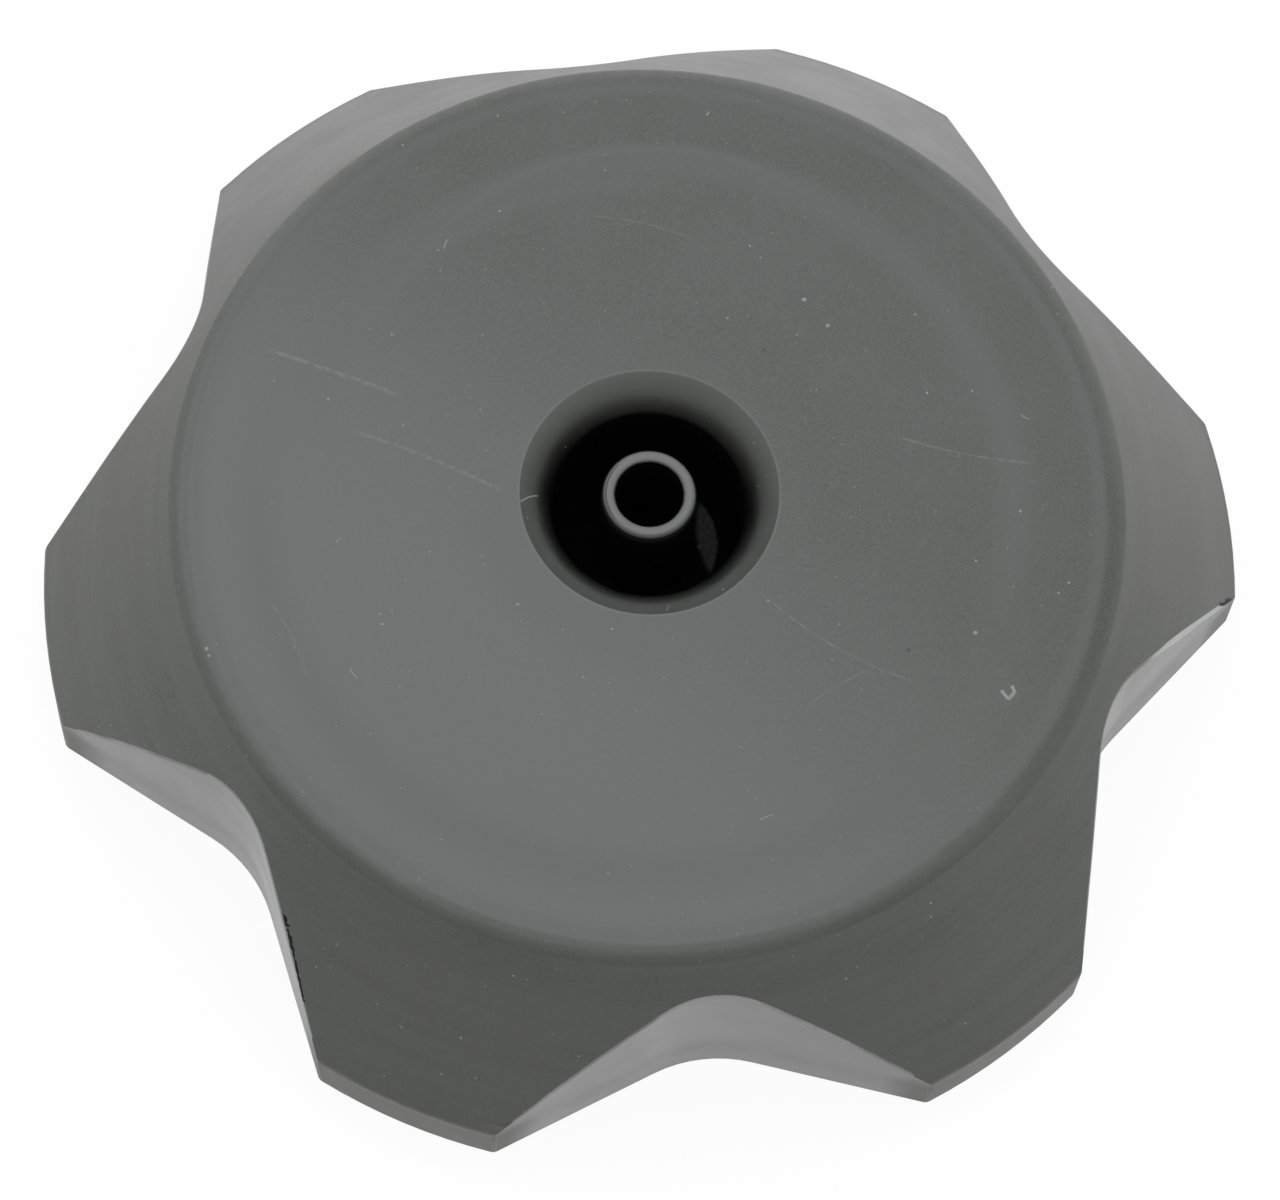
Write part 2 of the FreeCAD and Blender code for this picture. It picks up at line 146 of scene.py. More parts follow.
def aim_camera():
    """The photograph's camera: long lens, high in front, rolled a little."""
    place = PHOTO_TURN @ Vector((0, -CAMERA_BACK, CAMERA_UP))
    aim = PHOTO_TURN @ CAMERA_AIM
    data = bpy.data.cameras.new("camera")
    data.sensor_width = SENSOR_MM
    data.sensor_fit = "HORIZONTAL"
    data.lens = PHOTO_FOCAL_PX * SENSOR_MM / PHOTO_WIDTH
    data.clip_start = 0.01
    data.clip_end = 20
    camera = bpy.data.objects.new("camera", data)
    bpy.context.scene.collection.objects.link(camera)
    camera.location = place
    camera.rotation_mode = "QUATERNION"
    level = (aim - place).to_track_quat("-Z", "Y")
    camera.rotation_quaternion = level @ Quaternion((0, 0, 1), CAMERA_ROLL)
    bpy.context.scene.camera = camera


def light_studio():
    """A pale room, brighter behind the cap, and a softbox where the top mirrors the camera."""
    studio = bpy.data.worlds.new("studio")
    bpy.context.scene.world = studio
    studio.use_nodes = True
    background = studio.node_tree.nodes["Background"]
    g = Graph(studio.node_tree)
    way = g.node("ShaderNodeTexCoord", {}).outputs["Generated"]
    behind = g.vector("DOT_PRODUCT", way, BACK_WAY)
    level = g.calc("MULTIPLY_ADD", behind, ROOM_TO_BACK, ROOM_LEVEL)
    level = g.calc("MAXIMUM", level, ROOM_FRONT)
    seen = g.node("ShaderNodeLightPath", {}).outputs["Is Camera Ray"]
    to_white = g.calc("SUBTRACT", 1.0, level)
    g.feed(background.inputs["Strength"], g.calc("MULTIPLY_ADD", seen, to_white, level))
    g.feed(background.inputs["Color"], g.tint(g.step(behind, -0.6, 0.6), ROOM_WARM, ROOM_COOL))

    lamp = bpy.data.lights.new("softbox", "AREA")
    lamp.shape = "DISK"
    lamp.size = 2 * SOFTBOX_R
    lamp.color = SOFTBOX_TINT
    area = math.pi * SOFTBOX_R ** 2
    lamp.energy = SOFTBOX_LEVEL * math.pi * area
    softbox = bpy.data.objects.new("softbox", lamp)
    bpy.context.scene.collection.objects.link(softbox)
    softbox.visible_camera = False
    away = Vector((0, math.sin(SOFTBOX_LEAN), math.cos(SOFTBOX_LEAN))) * SOFTBOX_AWAY
    softbox.location = PHOTO_TURN @ away
    softbox.rotation_mode = "QUATERNION"
    softbox.rotation_quaternion = (-softbox.location).to_track_quat("-Z", "Y")


class Graph:
    """Short ways of adding nodes to the tree of a material or a group."""

    def __init__(self, tree):
        self.tree = tree

    def feed(self, socket, value):
        if isinstance(value, bpy.types.NodeSocket):
            self.tree.links.new(value, socket)
        else:
            socket.default_value = value

    def node(self, kind, inputs, **settings):
        made = self.tree.nodes.new(kind)
        for name, value in settings.items():
            setattr(made, name, value)
        for key, value in inputs.items():
            self.feed(made.inputs[key], value)
        return made

    def calc(self, operation, *values, clamp=False):
        inputs = dict(enumerate(values))
        return self.node("ShaderNodeMath", inputs, operation=operation, use_clamp=clamp).outputs[0]

    def vector(self, operation, *values):
        inputs = dict(enumerate(values))
        made = self.node("ShaderNodeVectorMath", inputs, operation=operation)
        single = operation in ("LENGTH", "DISTANCE", "DOT_PRODUCT")
        return made.outputs["Value" if single else "Vector"]

    def split(self, vector):
        return self.node("ShaderNodeSeparateXYZ", {0: vector}).outputs

    def step(self, value, low, high, start=0.0, end=1.0):
        """A smooth change from start to end while the value goes from low to high."""
        inputs = {"Value": value, "From Min": low, "From Max": high, "To Min": start, "To Max": end}
        return self.node("ShaderNodeMapRange", inputs, interpolation_type="SMOOTHSTEP").outputs[0]

    def noise(self, place, size, detail=2.0, roughness=0.5):
        inputs = {"Vector": place, "Scale": 1.0 / size, "Detail": detail, "Roughness": roughness}
        return self.node("ShaderNodeTexNoise", inputs).outputs["Fac"]

    def wander(self, place, size, reach=1.0, detail=3.0):
        """An uneven value about zero, at most half of its reach to either side."""
        about_zero = self.calc("SUBTRACT", self.noise(place, size, detail), 0.5)
        return about_zero if reach == 1.0 else self.calc("MULTIPLY", about_zero, reach)

    def tint(self, share, first, second):
        """The first colour, with the second one's share of it."""
        inputs = {0: share}
        for key, colour in ((6, first), (7, second)):
            inputs[key] = colour if isinstance(colour, bpy.types.NodeSocket) else (*colour, 1)
        return self.node("ShaderNodeMix", inputs, data_type="RGBA").outputs[2]

    def place_mm(self):
        """Where a point is on the object, in millimetres."""
        spot = self.tree.nodes.new("ShaderNodeTexCoord").outputs["Object"]
        return self.vector("MULTIPLY", spot, (1 / MM, 1 / MM, 1 / MM))

    def flat_and_radius(self, place):
        """The place seen from above, and how far it is from the cap's axis."""
        flat = self.vector("MULTIPLY", place, (1, 1, 0))
        return flat, self.vector("LENGTH", flat)

    def use(self, group, **inputs):
        made = self.tree.nodes.new("ShaderNodeGroup")
        made.node_tree = group
        for key, value in inputs.items():
            self.feed(made.inputs[key.replace("_", " ")], value)
        return made.outputs


def new_group(name, inputs, outputs):
    """An empty node group. Inputs are name to default, a number or three; outputs are names."""
    tree = bpy.data.node_groups.new(name, "ShaderNodeTree")
    for label, default in inputs.items():
        kind = "NodeSocketVector" if isinstance(default, tuple) else "NodeSocketFloat"
        tree.interface.new_socket(label, in_out="INPUT", socket_type=kind).default_value = default
    for label in outputs:
        tree.interface.new_socket(label, in_out="OUTPUT", socket_type="NodeSocketFloat")
    start = tree.nodes.new("NodeGroupInput").outputs
    end = tree.nodes.new("NodeGroupOutput").inputs
    return Graph(tree), start, end


def grain_group():
    """The fine grain of a sparked mould: its height, and slow uneven patches of tone."""
    inputs = {"Place": (0, 0, 0), "Size": 0.2, "Patch": 6.0}
    g, start, end = new_group("moulded_grain", inputs, ["Height", "Patches"])
    fine = g.node("ShaderNodeTexNoise", {
        "Vector": start["Place"], "Scale": g.calc("DIVIDE", 1.0, start["Size"]), "Detail": 3.0,
    }).outputs["Fac"]
    broad = g.node("ShaderNodeTexNoise", {
        "Vector": start["Place"], "Scale": g.calc("DIVIDE", 1.0, start["Patch"]),
        "Detail": 5.0, "Roughness": 0.6,
    }).outputs["Fac"]
    g.feed(end["Height"], fine)
    g.feed(end["Patches"], g.step(broad, 0.3, 0.7))
    return g.tree


def specks_group():
    """Scattered round specks: one at most in each cell, in a share of the cells."""
    inputs = {"Place": (0, 0, 0), "Cell": 1.0, "Spot": 0.1, "Share": 0.2}
    g, start, end = new_group("settled_specks", inputs, ["Mask"])
    cells = g.node("ShaderNodeTexVoronoi", {
        "Vector": start["Place"], "Scale": g.calc("DIVIDE", 1.0, start["Cell"]),
    }, feature="F1")
    luck = g.split(cells.outputs["Color"])
    away = g.calc("MULTIPLY", cells.outputs["Distance"], start["Cell"])
    reach = g.calc("MULTIPLY", start["Spot"], g.step(luck["Y"], 0.0, 1.0, 0.45, 1.0))
    inside = g.calc("SUBTRACT", reach, away)
    shown = g.calc("LESS_THAN", luck["X"], start["Share"])
    spot = g.calc("MULTIPLY", g.step(inside, 0.0, 0.03), shown)
    g.feed(end["Mask"], g.calc("MULTIPLY", spot, g.step(luck["Z"], 0.0, 1.0, 0.35, 1.0)))
    return g.tree


def hairline_group():
    """One fine scratch seen from above: its start, heading, length, width, bow and strength."""
    inputs = {
        "Place": (0, 0, 0), "Start": (0, 0, 0), "Heading": 0.0,
        "Length": 8.0, "Width": 0.08, "Bow": 0.3, "Strength": 0.3,
    }
    g, start, end = new_group("hairline", inputs, ["Mask"])
    from_start = g.vector("SUBTRACT", start["Place"], start["Start"])
    turned = {"Vector": from_start, "Angle": start["Heading"]}
    way = g.node("ShaderNodeVectorRotate", turned, rotation_type="Z_AXIS", invert=True).outputs[0]
    along, across, _ = g.split(way)
    middle = g.calc("MULTIPLY_ADD", g.calc("DIVIDE", along, start["Length"]), 2.0, -1.0)
    flat = g.calc("MULTIPLY", middle, middle)
    bend = g.calc("MULTIPLY_ADD", flat, g.calc("MULTIPLY", start["Bow"], -1.0), start["Bow"])
    off = g.calc("ABSOLUTE", g.calc("SUBTRACT", across, bend))
    core = g.calc("MULTIPLY", start["Width"], 0.3)
    line = g.step(off, core, start["Width"], start["Strength"], 0.0)
    g.feed(end["Mask"], g.calc("MULTIPLY", line, g.step(flat, 0.6, 1.0, 1.0, 0.0)))
    return g.tree


def nick_group():
    """A ragged spot about a point, or a ragged line along a run from that point."""
    inputs = {
        "Place": (0, 0, 0), "Wander": 0.0, "Centre": (0, 0, 0),
        "Run": (0, 0, 0), "Reach": 0.5, "Ragged": 1.2,
    }
    g, start, end = new_group("nick", inputs, ["Mask"])
    way = g.vector("SUBTRACT", start["Place"], start["Centre"])
    length = g.calc("MAXIMUM", g.vector("DOT_PRODUCT", start["Run"], start["Run"]), 0.0001)
    share = g.calc("DIVIDE", g.vector("DOT_PRODUCT", way, start["Run"]), length, clamp=True)
    off = g.vector("DISTANCE", way, g.vector("MULTIPLY", start["Run"], share))
    away = g.calc("DIVIDE", off, start["Reach"])
    away = g.calc("ADD", away, g.calc("MULTIPLY", start["Wander"], start["Ragged"]))
    g.feed(end["Mask"], g.step(away, 0.6, 1.0, 1.0, 0.0))
    return g.tree


def streak_group():
    """Faint level streaks, as drawn and polished mould walls leave them."""
    inputs = {"Place": (0, 0, 0), "Pitch": 0.6, "Length": 9.0}
    g, start, end = new_group("drawn_streaks", inputs, ["Mask"])
    long = g.calc("DIVIDE", 1.0, start["Length"])
    high = g.calc("DIVIDE", 1.0, start["Pitch"])
    squeeze = g.node("ShaderNodeCombineXYZ", {0: long, 1: long, 2: high}).outputs[0]
    lines = g.noise(g.vector("MULTIPLY", start["Place"], squeeze), 1.0, 3.0, 0.6)
    g.feed(end["Mask"], g.step(lines, 0.32, 0.68))
    return g.tree


def ring_group():
    """A soft ring, or a part of one, from a point's distance and angle. Angles are in radians."""
    inputs = {
        "Away": 0.0, "Angle": 0.0, "Radius": 25.0,
        "Half width": 2.0, "Middle": 0.0, "Half angle": 7.0,
    }
    g, start, end = new_group("ring_shade", inputs, ["Mask"])
    off = g.calc("ABSOLUTE", g.calc("SUBTRACT", start["Away"], start["Radius"]))
    band = g.step(off, 0.0, start["Half width"], 1.0, 0.0)
    turned = g.calc("WRAP", g.calc("SUBTRACT", start["Angle"], start["Middle"]), math.pi, -math.pi)
    full_to = g.calc("MULTIPLY", start["Half angle"], 0.5)
    part = g.step(g.calc("ABSOLUTE", turned), full_to, start["Half angle"], 1.0, 0.0)
    g.feed(end["Mask"], g.calc("MULTIPLY", band, part))
    return g.tree


def new_material(name):
    material = bpy.data.materials.new(name)
    material.use_nodes = True
    return Graph(material.node_tree), material.node_tree.nodes["Principled BSDF"].inputs, material


def roughen(g, shader, height, depth_mm):
    """Feeds a height into the shader's normal as a bump of this depth."""
    bump = g.node("ShaderNodeBump", {"Height": height, "Distance": depth_mm * MM})
    g.feed(shader["Normal"], bump.outputs[0])


def add_masks(g, masks):
    """The strongest of several masks at each point."""
    total = masks[0]
    for mask in masks[1:]:
        total = g.calc("MAXIMUM", total, mask)
    return total


def nicks(g, groups, place, wander, spots):
    """All the ragged marks of a list."""
    found = []
    for centre, run, reach in spots:
        nick = g.use(
            groups["nick"], Place=place, Wander=wander, Centre=centre, Run=run, Reach=reach,
        )
        found.append(nick["Mask"])
    return add_masks(g, found)


def scratches(g, groups, place, lines):
    """All the scratches of a list."""
    found = []
    for start, heading, length, width, bow, strength in lines:
        line = g.use(
            groups["hairline"], Place=place, Start=(*start, 0), Heading=math.radians(heading),
            Length=length, Width=width, Bow=bow, Strength=strength,
        )
        found.append(line["Mask"])
    return add_masks(g, found)


def rings(g, groups, away, angle, lines):
    """All the soft rings of a list."""
    found = []
    for radius, half_width, middle, half_angle in lines:
        ring = g.use(
            groups["ring"], Away=away, Angle=angle, Radius=radius, Half_width=half_width,
            Middle=math.radians(middle), Half_angle=math.radians(half_angle),
        )
        found.append(ring["Mask"])
    return add_masks(g, found)


def satin_plastic(groups):
    """The cap's outside: satin black plastic, greyed, with specks and scratches; its sink marks,
    edge, sides and nipple carry painted light and shade.
    """
    g, shader, material = new_material("satin_black_plastic")
    place = g.place_mm()
    x, y, z = g.split(place)
    flat, r = g.flat_and_radius(place)
    angle = g.calc("ARCTAN2", y, x)
    wander = g.wander(place, 0.45)
    grain = g.use(groups["grain"], Place=place, Size=0.2, Patch=7.0)
    colour = g.tint(g.step(grain["Height"], 0.3, 0.7), PLASTIC_DEEP, PLASTIC)
    colour = g.tint(g.calc("MULTIPLY", grain["Patches"], 0.35), colour, PLASTIC_PALE)
    on_top = g.step(z, SKIRT_TOP_Z - 0.65, SKIRT_TOP_Z - 0.15)
    below = g.calc("SUBTRACT", 1.0, on_top)
    bands = g.use(groups["streaks"], Place=place, Pitch=1.5, Length=30.0)["Mask"]
    colour = g.tint(g.calc("MULTIPLY", bands, g.calc("MULTIPLY", below, 0.5)), colour, PLASTIC_PALE)

    # The top painted greyer on one side as painted light, and the skirt's front side painted darker
    # as painted shade
    lighter_side = g.vector("DOT_PRODUCT", place, LIGHTER_TOP_WAY)
    painted_light_top = g.step(lighter_side, -12.0, 6.0, 0.0, 0.24)
    colour = g.tint(g.calc("MULTIPLY", painted_light_top, on_top), colour, PAINTED_LIGHT_GREY)
    painted_shade_skirt = g.step(g.vector("DOT_PRODUCT", place, SHADED_WAY), 20.0, 34.0, 0.0, 0.35)
    colour = g.tint(g.calc("MULTIPLY", painted_shade_skirt, below), colour, PLASTIC_DEEP)

    # The scallops' upright walls, which lie below the skirt's cone and not at the lobes' ends,
    # painted paler as the white floor's reflection, most low down and on the lighter side
    skirt_z = g.calc("MULTIPLY_ADD", r, -SKIRT_FALL, SKIRT_TOP_Z + SKIRT_FALL * SKIRT_TOP_R)
    under_skirt = g.step(g.calc("SUBTRACT", skirt_z, z), 0.25, 0.7)
    wall = g.calc("MULTIPLY", under_skirt, g.step(r, 42.6, 43.4, 1.0, 0.0))
    wall = g.calc("MULTIPLY", wall, g.step(lighter_side, -5.0, 20.0))
    colour = g.tint(g.calc("MULTIPLY", wall, g.step(z, 1.0, 4.0, 1.0, 0.6)), colour, PAINTED_LIGHT_GREY)

    # The top's lit edge as a painted highlight, and its sink marks and the crescent, whose dips are
    # shown as painted reflections
    lit_edge = rings(g, groups, r, angle, [LIT_EDGE])
    colour = g.tint(g.calc("MULTIPLY", lit_edge, 0.14), colour, PAINTED_LIGHT_GREY)
    sink_reflections = g.calc("MULTIPLY", rings(g, groups, r, angle, PAINTED_SINK_AND_EDGE_RINGS), on_top)
    colour = g.tint(g.calc("MULTIPLY", sink_reflections, 0.52), colour, PLASTIC_PALE)
    crescent = rings(g, groups, g.vector("DISTANCE", flat, CRESCENT_CENTRE), angle, [CRESCENT])
    crescent = g.calc("MULTIPLY", crescent, g.calc("MULTIPLY", on_top, 0.6))
    colour = g.tint(crescent, colour, PLASTIC_PALE)

    # The fine line at the well's mouth, a painted highlight, then the scratches
    mouth = g.step(g.calc("ABSOLUTE", g.calc("SUBTRACT", r, WELL_MOUTH_R)), 0.02, 0.2, 0.45, 0.0)
    colour = g.tint(g.calc("MULTIPLY", mouth, on_top), colour, PAINTED_LIGHT_GREY)
    broken = g.step(wander, -0.12, 0.10, 0.15, 1.0)
    scratched = g.calc("MULTIPLY", scratches(g, groups, place, HAIRLINES), broken)
    scratched = g.calc("MAXIMUM", scratched, scratches(g, groups, place, SCRAPES))
    colour = g.tint(g.calc("MULTIPLY", scratched, on_top), colour, DUST_AND_LIT_PATCH)

    # Specks, nicks, pits and soot
    fine = g.use(groups["specks"], Place=place, Cell=0.8, Spot=0.10, Share=0.12)["Mask"]
    large = g.use(groups["specks"], Place=place, Cell=2.0, Spot=0.12, Share=0.18)["Mask"]
    moved = g.vector("ADD", place, (3.1, 1.7, 0.4))
    faint = g.use(groups["specks"], Place=moved, Cell=0.55, Spot=0.09, Share=0.35)["Mask"]
    specks = add_masks(g, [fine, large, g.calc("MULTIPLY", faint, 0.3)])
    specks = g.calc("MULTIPLY", specks, g.step(z, 2.0, 9.0, 0.2, 0.7))
    colour = g.tint(specks, colour, DUST_AND_LIT_PATCH)
    pale = nicks(g, groups, place, wander, PALE_NICKS)
    colour = g.tint(g.calc("MULTIPLY", pale, 0.45), colour, DUST_AND_LIT_PATCH)
    pits = nicks(g, groups, place, wander, DARK_PITS)
    colour = g.tint(g.calc("MULTIPLY", pits, 0.6), colour, SOOT)
    smear = g.wander(place, 0.25, reach=2.2)
    sooty = g.calc("MULTIPLY", nicks(g, groups, place, smear, EDGE_SOOT), 0.85)
    dark = nicks(g, groups, place, g.calc("MULTIPLY", smear, 0.25), DARK_NICKS)
    sooty = g.calc("MAXIMUM", sooty, dark)
    colour = g.tint(sooty, colour, SOOT)
    g.feed(shader["Metallic"], sooty)

    # Fuel varnish in the socket
    in_socket = g.step(r, SOCKET_R - 0.15, SOCKET_R + 0.15, 1.0, 0.0)
    under_top = g.step(z, SOCKET_TOP_Z - 0.2, SOCKET_TOP_Z + 0.2, 1.0, 0.0)
    stain = g.calc("MULTIPLY", in_socket, under_top)
    stain = g.calc("MULTIPLY", stain, g.step(grain["Patches"], 0.3, 0.8))
    colour = g.tint(g.calc("MULTIPLY", stain, 0.35), colour, VARNISH)

    # The nipple: a painted highlight on the middle of its rim, painted shade away from it and down
    # its wall, with a burr at its bore and a split in its ridge
    nipple = g.step(r, NIPPLE_R + 0.1, NIPPLE_R + 0.5, 1.0, 0.0)
    nipple = g.calc("MULTIPLY", nipple, g.step(z, WELL_TOP_Z - 9, WELL_TOP_Z - 8))
    down = g.step(z, NIPPLE_TOP_Z - 1.3, NIPPLE_TOP_Z - 0.3, 1.0, 0.0)
    aside = g.step(g.calc("ABSOLUTE", g.calc("SUBTRACT", r, RIDGE_R)), 0.05, 0.6)
    nipple_light_shade_and_flaws = g.tint(g.calc("MAXIMUM", down, aside), PAINTED_LIGHT_GREY, WELL_BLACK)
    ragged_r = g.calc("MULTIPLY_ADD", wander, 0.4, r)
    burr = g.step(ragged_r, NIPPLE_BORE_R - 0.01, NIPPLE_BORE_R + 0.09, 1.0, 0.0)
    split = rings(g, groups, r, angle, [RIDGE_SPLIT])
    nipple_light_shade_and_flaws = g.tint(g.calc("MAXIMUM", burr, split), nipple_light_shade_and_flaws, WELL_BLACK)
    colour = g.tint(nipple, colour, nipple_light_shade_and_flaws)
    g.feed(shader["Base Color"], colour)

    uneven = g.step(grain["Patches"], 0.0, 1.0, 0.28, 0.33)
    # Duller low down, most of all at the lobes' ends
    scuffed = g.calc("MULTIPLY", g.step(z, 4.0, 6.5, 1.0, 0.0), g.step(r, 41.5, 43.0, 0.03, 0.17))
    g.feed(shader["Roughness"], g.calc("MULTIPLY_ADD", specks, 0.3, g.calc("ADD", uneven, scuffed)))
    shader["IOR"].default_value = PLASTIC_IOR
    roughen(g, shader, grain["Height"], 0.005)
    return material


def edge_plastic(groups):
    """The same plastic where its edges are broken, rubbed pale and painted lighter as their
    highlight.
    """
    g, shader, material = new_material("rubbed_and_highlit_plastic_edge")
    place = g.place_mm()
    x, y, _ = g.split(place)
    wander = g.wander(place, 0.45)
    grain = g.use(groups["grain"], Place=place, Size=0.3, Patch=5.0)
    colour = g.tint(g.step(grain["Patches"], 0.1, 0.9, 0.25, 1.0), PLASTIC_PALE, EDGE_WEAR_AND_HIGHLIGHT)
    near_y, far_y = RUBBED_Y
    rubbed = g.step(x, RUBBED_FROM_X, RUBBED_FROM_X + 2.0)
    rubbed = g.calc("MULTIPLY", rubbed, g.step(y, near_y - 0.5, near_y + 2.0))
    rubbed = g.calc("MULTIPLY", rubbed, g.step(y, far_y - 1.5, far_y, 1.0, 0.0))
    colour = g.tint(g.calc("MULTIPLY", rubbed, 0.75), colour, EDGE_RUBBED)
    sooty = nicks(g, groups, place, wander, DARK_NICKS + EDGE_SOOT)
    g.feed(shader["Base Color"], g.tint(sooty, colour, SOOT))
    g.feed(shader["Metallic"], sooty)
    g.feed(shader["Roughness"], g.step(grain["Patches"], 0.0, 1.0, 0.32, 0.42))
    shader["IOR"].default_value = PLASTIC_IOR
    roughen(g, shader, grain["Height"], 0.010)
    return material


def lead_in_plastic(groups):
    """The well's rounded mouth: dull, painted paler at the back as light, and black towards the front
    and the depth as painted shade.
    """
    g, shader, material = new_material("lead_in_painted_light_and_shade")
    place = g.place_mm()
    _, _, z = g.split(place)
    _, r = g.flat_and_radius(place)
    wander = g.wander(place, 0.8)
    grain = g.use(groups["grain"], Place=place, Size=0.25, Patch=2.5)
    back = g.vector("DOT_PRODUCT", place, BACK_WAY)
    uneven_back = g.calc("MULTIPLY_ADD", wander, 3.0, back)
    # Painted light and shade: paler at the back, black towards the front, inwards and down into the
    # well
    base = g.tint(g.step(uneven_back, -4.0, 8.0), PLASTIC, LEAD_IN_PALE)
    front_shade = g.step(uneven_back, -9.0, 5.0, 0.5, 0.0)
    out = g.calc("MULTIPLY_ADD", g.calc("MAXIMUM", back, 0.0), 0.15, r)
    inwards = g.step(g.calc("MULTIPLY_ADD", wander, 0.3, out), 6.9, 9.7, 1.0, 0.0)
    down = g.step(z, WELL_TOP_Z - 2.9, WELL_TOP_Z - 1.2, 1.0, 0.0)
    colour = g.tint(add_masks(g, [front_shade, inwards, down]), base, WELL_BLACK)
    specks = g.use(groups["specks"], Place=place, Cell=0.6, Spot=0.09, Share=0.3)["Mask"]
    scraped = scratches(g, groups, place, MOUTH_SCRAPES)
    marks = g.calc("MAXIMUM", g.calc("MULTIPLY", specks, 0.4), scraped)
    g.feed(shader["Base Color"], g.tint(marks, colour, DUST_AND_LIT_PATCH))
    g.feed(shader["Roughness"], g.step(grain["Patches"], 0.0, 1.0, 0.34, 0.42))
    shader["IOR"].default_value = PLASTIC_IOR
    shader["Specular IOR Level"].default_value = LEAD_IN_GLOSS
    roughen(g, shader, grain["Height"], 0.006)
    return material


def well_plastic(groups):
    """The well's inside: painted black as shade and dull, with a painted patch of light and specks of
    dust on its floor.
    """
    g, shader, material = new_material("well_painted_shade")
    place = g.place_mm()
    _, _, z = g.split(place)
    grain = g.use(groups["grain"], Place=place, Size=0.25, Patch=1.5)
    flat, r = g.flat_and_radius(place)
    # Painted shade: black low in the well and higher next to the nipple, the plain colour only where
    # the upper wall is lit
    nipple = g.step(r, 4.0, 5.0, 1.9, 0.0)
    lit = g.step(g.calc("SUBTRACT", z, nipple), WELL_TOP_Z - 3.6, WELL_TOP_Z - 1.3)
    colour = g.tint(g.calc("MULTIPLY", lit, g.step(r, 2.5, 2.7)), WELL_BLACK, PLASTIC)
    wander = g.wander(place, 0.4, reach=0.3)
    # A painted patch of light on the floor, broken up by the grain
    outer = g.calc("ADD", wander, g.vector("DISTANCE", flat, LIT_PATCH_OUTER))
    outer = g.step(outer, LIT_PATCH_OUTER_R - 0.15, LIT_PATCH_OUTER_R + 0.15, 1.0, 0.0)
    inner = g.calc("ADD", wander, g.vector("DISTANCE", flat, LIT_PATCH_INNER))
    inner = g.step(inner, LIT_PATCH_INNER_R - 0.25, LIT_PATCH_INNER_R + 0.25, 1.0, 0.0)
    on_floor = g.step(z, WELL_FLOOR_Z + 0.4, WELL_FLOOR_Z + 0.6, 1.0, 0.0)
    worn = g.step(grain["Height"], 0.3, 0.7, 0.55, 1.0)
    light_patch = g.calc("MULTIPLY", g.calc("MULTIPLY", outer, inner), g.calc("MULTIPLY", on_floor, worn))
    colour = g.tint(g.calc("MULTIPLY", light_patch, 0.18), colour, DUST_AND_LIT_PATCH)
    specks = g.use(groups["specks"], Place=place, Cell=0.8, Spot=0.10, Share=0.2)["Mask"]
    colour = g.tint(g.calc("MULTIPLY", specks, 0.3), colour, DUST_AND_LIT_PATCH)
    g.feed(shader["Base Color"], colour)
    g.feed(shader["Roughness"], g.step(grain["Patches"], 0.0, 1.0, 0.7, 0.9))
    shader["Specular IOR Level"].default_value = 0.05
    roughen(g, shader, grain["Height"], 0.02)
    return material


# Soft rings: radius, half width, and middle and half angle in degrees
LIT_EDGE = (SKIRT_TOP_R + 0.15, 0.7, -108, 95)
CRESCENT = (CRESCENT_R, 0.7, 99, 56)
RIDGE_SPLIT = (3.08, 0.09, 170, math.degrees(0.9))  # in the nipple's rim
# Pale rings painted on the top as the reflections of its sink marks; the one at 32.3 all round is the
# edge round's painted highlight
PAINTED_SINK_AND_EDGE_RINGS = [
    (26.1, 2.2, 62, 120),
    (27.9, 2.6, -118, 105),
    (24.6, 1.5, 118, 50),
    (32.3, 1.0, 0, 400),
    (10.6, 4.5, -125, 85),
]
# Fine scratches on the top: start, heading in degrees, length, width, bow and strength
HAIRLINES = [
    ((17.0, 2.97), -17.5, 11.5, 0.13, -0.5, 0.13),
    ((6.8, -8.3), -37, 13.0, 0.08, -0.8, 0.16),
    ((-20.6, 7.4), -31, 12.5, 0.20, 0.25, 0.12),
    ((-26.2, 14.8), -29, 11.0, 0.22, 0.0, 0.14),
    ((6.0, 19.0), 160, 9.0, 0.06, -0.5, 0.14),
    ((-28.0, -4.0), -70, 7.0, 0.06, 0.4, 0.14),
    ((9.0, -17.0), 24, 6.0, 0.07, 0.2, 0.12),
]
# Short scrapes, given as the scratches are
SCRAPES = [
    ((22.86, -17.10), -59, 0.84, 0.17, 0.0, 0.50),
    ((23.20, -17.86), 42, 0.86, 0.19, -0.04, 0.46),
    ((23.84, -17.46), 104, 0.66, 0.18, 0.0, 0.50),
    ((-12.3, 20.6), 65, 0.9, 0.07, 0.05, 0.35),
    ((4.6, -24.8), 15, 1.1, 0.06, 0.08, 0.30),
    ((27.3, 3.4), -40, 0.8, 0.07, -0.05, 0.30),
    ((-22.0, -11.2), 120, 1.0, 0.07, 0.10, 0.28),
]
MOUTH_SCRAPES = [
    ((-9.25, 0.26), 24, 1.6, 0.07, 0.10, 0.45),
    ((0.1, -9.0), 62, 0.6, 0.06, 0.05, 0.22),
]
